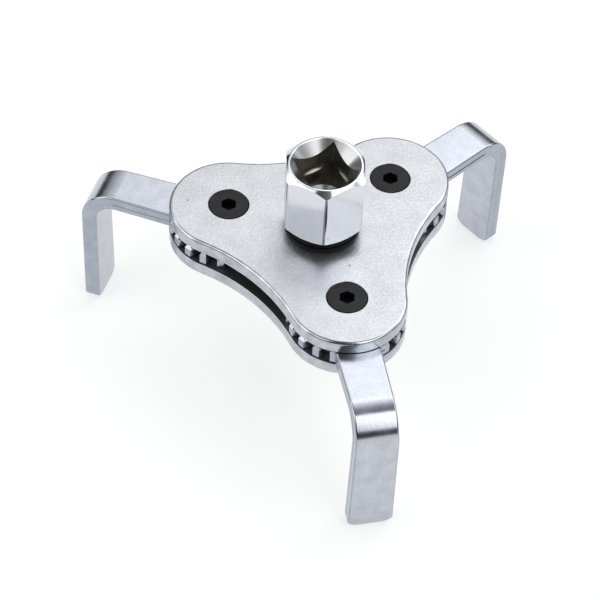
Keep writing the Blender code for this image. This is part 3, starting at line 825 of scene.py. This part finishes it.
def make_pivot(lobe):
    centre = Matrix.Translation((*pivot(lobe), 0.0))
    low, high = (corner.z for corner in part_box(f"pivot_screw_{lobe}"))
    land = high - HEAD_RIM
    cone_end = land - HEAD_CONE
    thread_top = PLATE_LOW - 0.3 * MM
    crest = 0.5 * MM
    crests = []
    level = low + crest
    while level < thread_top - crest:
        crests += [(SCREW_RADIUS, level), (THREAD_ROOT, level + crest / 2), (SCREW_RADIUS, level + crest)]
        level += THREAD_PITCH
    profile = [(0, low), (SCREW_RADIUS - 0.5 * MM, low)] + crests
    profile += [(SCREW_RADIUS, cone_end), (HEAD_RADIUS - 0.05 * MM, land - 0.05 * MM), (HEAD_RADIUS, land)]
    profile += [(HEAD_RADIUS, high - 0.12 * MM), (HEAD_RADIUS - 0.04 * MM, high - 0.03 * MM),
                (HEAD_RADIUS - 0.15 * MM, high), (0, high)]
    screw = to_object("screw", turned(profile, 96), OXIDE)
    key = rounded_polygon(KEY_ACROSS_FLATS, 6, PIVOT_KEY_TURN, 0.12 * MM)
    carve(screw, walls([prism(key, high - KEY_DEPTH, high + MM)]))
    screw.data.materials.append(RECESS_SHADE)
    # Painted shade: the faces inside the key recess take the near-black finish.
    key_reach = 2.32 * MM
    for face in screw.data.polygons:
        below_face = high - KEY_DEPTH - 0.1 * MM < face.center.z < high - 0.1 * MM
        if below_face and face.center.xy.length < key_reach:
            face.material_index = 1
    screw.matrix_world = centre
    finish_piece(screw, "frame", f"pivot_screw_{lobe}", 30.0)

    low, high = (corner.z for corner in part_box(f"pivot_bush_{lobe}"))
    rows = edge_rows(low, high, 0.3 * MM, 0.3 * MM, 2)
    profile = [(SCREW_HOLE, high), (SCREW_HOLE, low)] + [(BUSH_RADIUS - inset, z) for inset, z in rows]
    bush = to_object("bush", turned(profile, 72), BUSH)
    bush.matrix_world = centre
    finish_piece(bush, "frame", f"pivot_bush_{lobe}")

    low, high = (corner.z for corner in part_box(f"pivot_nut_{lobe}"))
    hexagon = rounded_polygon(NUT_ACROSS_FLATS, 6, PIVOT_KEY_TURN, 0.25 * MM, 4)
    bore = hole([(NUT_BORE + 0.3 * MM, low), (NUT_BORE, low + 0.3 * MM), (NUT_BORE, high)], 64)
    nut = to_object("nut", walls([prism(hexagon, low, high), bore]), ZINC)
    slope = (NUT_CORNER - NUT_FACE_RADIUS) / NUT_BEVEL
    wide = NUT_CORNER + NUT_BEVEL * slope
    carve(nut, turned([
        (0, low - MM), (NUT_FACE_RADIUS - MM * slope, low - MM), (wide, low + 2 * NUT_BEVEL),
        (wide, high + MM), (0, high + MM),
    ], 96), "INTERSECT")
    nut.matrix_world = centre
    finish_piece(nut, "frame", f"pivot_nut_{lobe}", 30.0)


make_plates()
make_drive_gear()
make_drive_socket()
make_rings()
for name in LOBES:
    make_arm(name)
    make_pivot(name)


# --- studio ---------------------------------------------------------------------------------------

CAMERA_AZIMUTH = math.radians(-16.723)
CAMERA_ELEVATION = math.radians(48.793)
CAMERA_ROLL = math.radians(3.214)
CAMERA_DISTANCE = 0.78568
CAMERA_AIM = (-0.006044, -0.020329)  # sideways and upwards, from the middle of the upper plate's face
LENS = 172.28
SENSOR = 36.0

TABLE_GAP = 0.3 * MM
TABLE_RADII = (0.25, 1.4)
TABLE_GLOW = 0.62
LAMP_SPOT = (-0.80, 0.15, 0.38)
LAMP_SIZE = (0.7, 0.5)
LAMP_POWER = 1.9

BRIGHTEST = 3.0
# (turn, level): from the horizon behind the object, 0, over the top, 0.5, to the camera's side, 1
OVERHEAD = [
    (0.0, 0.18), (0.085, 0.24), (0.17, 0.60), (0.235, 1.05), (0.29, 1.42), (0.335, 1.52), (0.40, 0.75),
    (0.48, 0.26), (0.575, 0.06), (0.60, 1.62), (0.86, 1.52), (0.90, 0.12), (1.0, 0.10),
]
# (place, level): from the camera's left, 0, to its right, 1
SIDES = [
    (0.0, 1.0), (0.10, 1.20), (0.20, 2.15), (0.50, 1.5), (0.66, 1.8), (0.74, 2.9), (0.84, 2.9),
    (0.89, 1.8), (1.0, 1.2),
]


def make_camera():
    back = Vector((math.sin(CAMERA_AZIMUTH) * math.cos(CAMERA_ELEVATION),
                   -math.cos(CAMERA_AZIMUTH) * math.cos(CAMERA_ELEVATION), math.sin(CAMERA_ELEVATION)))
    right = Vector((math.cos(CAMERA_AZIMUTH), math.sin(CAMERA_AZIMUTH), 0.0))
    up = back.cross(right)
    across = right * math.cos(CAMERA_ROLL) + up * math.sin(CAMERA_ROLL)
    upward = -right * math.sin(CAMERA_ROLL) + up * math.cos(CAMERA_ROLL)
    lens = bpy.data.cameras.new("camera")
    lens.lens = LENS
    lens.sensor_width = SENSOR
    lens.clip_start = 0.05
    lens.clip_end = 20.0
    camera = bpy.data.objects.new("camera", lens)
    bpy.context.scene.collection.objects.link(camera)
    spot = Vector((0.0, 0.0, COVER_TOP)) + back * CAMERA_DISTANCE
    spot += across * CAMERA_AIM[0] + upward * CAMERA_AIM[1]
    turn = Matrix((across, upward, back)).transposed().to_4x4()
    camera.matrix_world = Matrix.Translation(spot) @ turn
    bpy.context.scene.camera = camera


def make_floor():
    """A wide pale table under the legs, lit a little from below like a light table."""
    level = cad_box[0].z - TABLE_GAP
    sides = 36
    shape = bmesh.new()
    rings = [[shape.verts.new((point.x, point.y, level)) for point in circle(radius, sides)]
             for radius in TABLE_RADII]
    shape.faces.new(rings[0])
    for i in range(sides):
        shape.faces.new((rings[0][i - 1], rings[1][i - 1], rings[1][i], rings[0][i]))
    table = to_object("table", shape)
    pale = bpy.data.materials.new("pale_table")
    pale.use_nodes = True
    shader = pale.node_tree.nodes["Principled BSDF"]
    shader.inputs["Base Color"].default_value = (0.42, 0.42, 0.42, 1.0)
    shader.inputs["Roughness"].default_value = 0.9
    shader.inputs["Specular IOR Level"].default_value = 0.0
    shader.inputs["Emission Color"].default_value = (1.0, 1.0, 1.0, 1.0)
    shader.inputs["Emission Strength"].default_value = TABLE_GLOW
    table.data.materials.append(pale)


def fill_ramp(ramp, stops):
    """Set a colour ramp to grey levels, stored as parts of the brightest one."""
    elements = ramp.color_ramp.elements
    elements[0].position, elements[1].position = stops[0][0], stops[-1][0]
    for position, value in stops[1:-1]:
        elements.new(position)
    for element, (position, value) in zip(sorted(elements, key=lambda item: item.position), stops):
        element.color = (*[value / BRIGHTEST] * 3, 1.0)


def make_world():
    """Soft boxes behind, in front and at the sides, with dark gaps overhead and along the horizon.

    A narrow dark sector lies behind the camera, and a soft glow under the floor lights the underside.
    """
    world = bpy.data.worlds.new("studio")
    bpy.context.scene.world = world
    world.use_nodes = True
    nodes, links = world.node_tree.nodes, world.node_tree.links
    direction = nodes.new("ShaderNodeTexCoord").outputs["Generated"]

    def node(kind, *values, operation=None):
        made = nodes.new(kind)
        if operation:
            made.operation = operation
        for socket, value in zip(made.inputs, values):
            if isinstance(value, (float, tuple)):
                socket.default_value = value
            elif value is not None:
                links.new(value, socket)
        return made

    def calc(operation, *values):
        return node("ShaderNodeMath", *values, operation=operation).outputs[0]

    def remap(value, low, high, to_low, to_high):
        return node("ShaderNodeMapRange", value, low, high, to_low, to_high).outputs[0]

    def facing(axis):
        return node("ShaderNodeVectorMath", direction, axis, operation="DOT_PRODUCT").outputs["Value"]

    to_camera = (math.sin(CAMERA_AZIMUTH), -math.cos(CAMERA_AZIMUTH), 0.0)
    across = (math.cos(CAMERA_AZIMUTH), math.sin(CAMERA_AZIMUTH), 0.0)
    toward = facing(to_camera)
    height = facing((0.0, 0.0, 1.0))
    turn = calc("DIVIDE", calc("ARCTAN2", height, calc("MULTIPLY", toward, -1.0)), math.pi)

    over = nodes.new("ShaderNodeValToRGB")
    over.color_ramp.interpolation = "EASE"
    links.new(turn, over.inputs[0])
    fill_ramp(over, OVERHEAD)
    lateral = facing(across)
    brighter_right = remap(lateral, -0.10, 0.10, 0.88 * BRIGHTEST, 1.66 * BRIGHTEST)
    along_middle = calc("MULTIPLY", over.outputs[0], brighter_right)

    side = nodes.new("ShaderNodeValToRGB")
    fill_ramp(side, SIDES)
    links.new(remap(lateral, -1.0, 1.0, 0.0, 1.0), side.inputs[0])
    side_level = calc("MULTIPLY", side.outputs[0], remap(height, 0.58, 0.70, 0.5 * BRIGHTEST, BRIGHTEST))
    beside = remap(calc("ABSOLUTE", lateral), 0.45, 0.62, 0.0, 1.0)
    in_front = remap(toward, -0.15, 0.10, 0.0, 1.0)
    soft = node("ShaderNodeMix", calc("MULTIPLY", beside, in_front), None, along_middle, side_level)
    swing = calc("ARCTAN2", lateral, toward)
    left_of = remap(swing, -0.54, -0.46, 1.0, 0.0)
    right_of = remap(swing, 0.40, 0.46, 0.0, 1.0)
    unshaded = remap(calc("MAXIMUM", left_of, right_of), 0.0, 1.0, 0.06, 1.0)
    lift = remap(height, 0.18, 0.40, 0.10, 1.0)
    above = calc("MULTIPLY", calc("MULTIPLY", soft.outputs[0], unshaded), lift)
    under = remap(height, -0.08, -0.04, 0.9, 0.0)
    level = calc("MAXIMUM", above, under)
    background = nodes["Background"]
    tinted = node("ShaderNodeVectorMath", (0.99, 1.0, 1.01), level, operation="MULTIPLY").outputs[0]
    links.new(tinted, background.inputs["Color"])
    background.inputs["Strength"].default_value = 1.0


def make_lights():
    panel = bpy.data.lights.new("soft_box", "AREA")
    panel.shape = "RECTANGLE"
    panel.size, panel.size_y = LAMP_SIZE
    panel.energy = LAMP_POWER
    lamp = bpy.data.objects.new("soft_box", panel)
    bpy.context.scene.collection.objects.link(lamp)
    lamp.location = LAMP_SPOT
    lamp.rotation_mode = "QUATERNION"
    lamp.rotation_quaternion = Vector(lamp.location).to_track_quat("Z", "Y")


make_camera()
make_floor()
make_world()
make_lights()
bpy.context.scene.view_settings.view_transform = "Standard"
